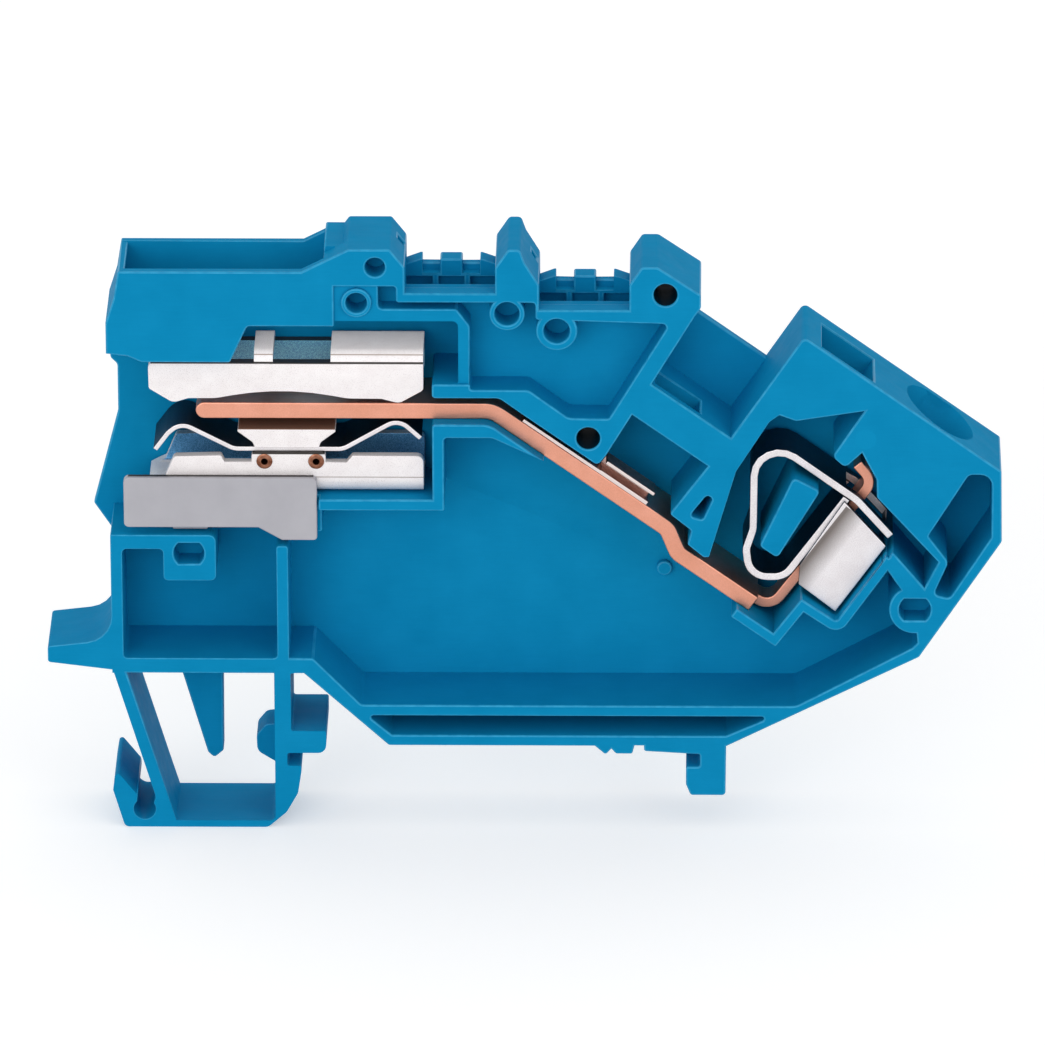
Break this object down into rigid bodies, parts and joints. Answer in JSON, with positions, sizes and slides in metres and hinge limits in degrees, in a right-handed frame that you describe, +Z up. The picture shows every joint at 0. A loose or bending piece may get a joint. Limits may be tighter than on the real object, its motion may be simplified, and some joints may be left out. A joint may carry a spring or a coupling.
{
  "type": "disconnect terminal block",
  "caption": "Rail-mounted disconnect terminal block, open on one side over its copper bar, cage clamp and sprung contact slide, which moves sideways to grip a busbar.",
  "frame": {"origin": "middle of the rail across its width, in the plane of the top of the rail's lips, at the middle of the block's 8 mm thickness", "axes": "+X along the block towards the clamp, +Y along the rail towards the closed back, +Z up from the rail; the open side faces -Y"},
  "size_m": [0.0814, 0.0092, 0.0532],
  "materials": {
    "blue_polyamide": "satin moulded polyamide",
    "copper": null,
    "spring_steel": "bright spring strip",
    "silver_plate": "tin- or silver-plated sheet, softly bright",
    "grey_plastic": "matte"
  },
  "bodies": {
    "block": {"housing": "blue_polyamide", "current_bar": "copper", "clamp_spring": "spring_steel", "jumper_contact": "copper"},
    "slide": {"upper_jaw": "silver_plate", "lower_jaw": "silver_plate", "jaw_spring": "spring_steel", "spring_saddle": "silver_plate", "left_rivet": "copper", "right_rivet": "copper", "slide_shoe": "grey_plastic"}
  },
  "joints": [
    {"name": "disconnect_slide", "type": "slide", "parent": "block", "child": "slide", "axis": [-1, 0, 0], "range_m": [0, 0.005]}
  ]
}
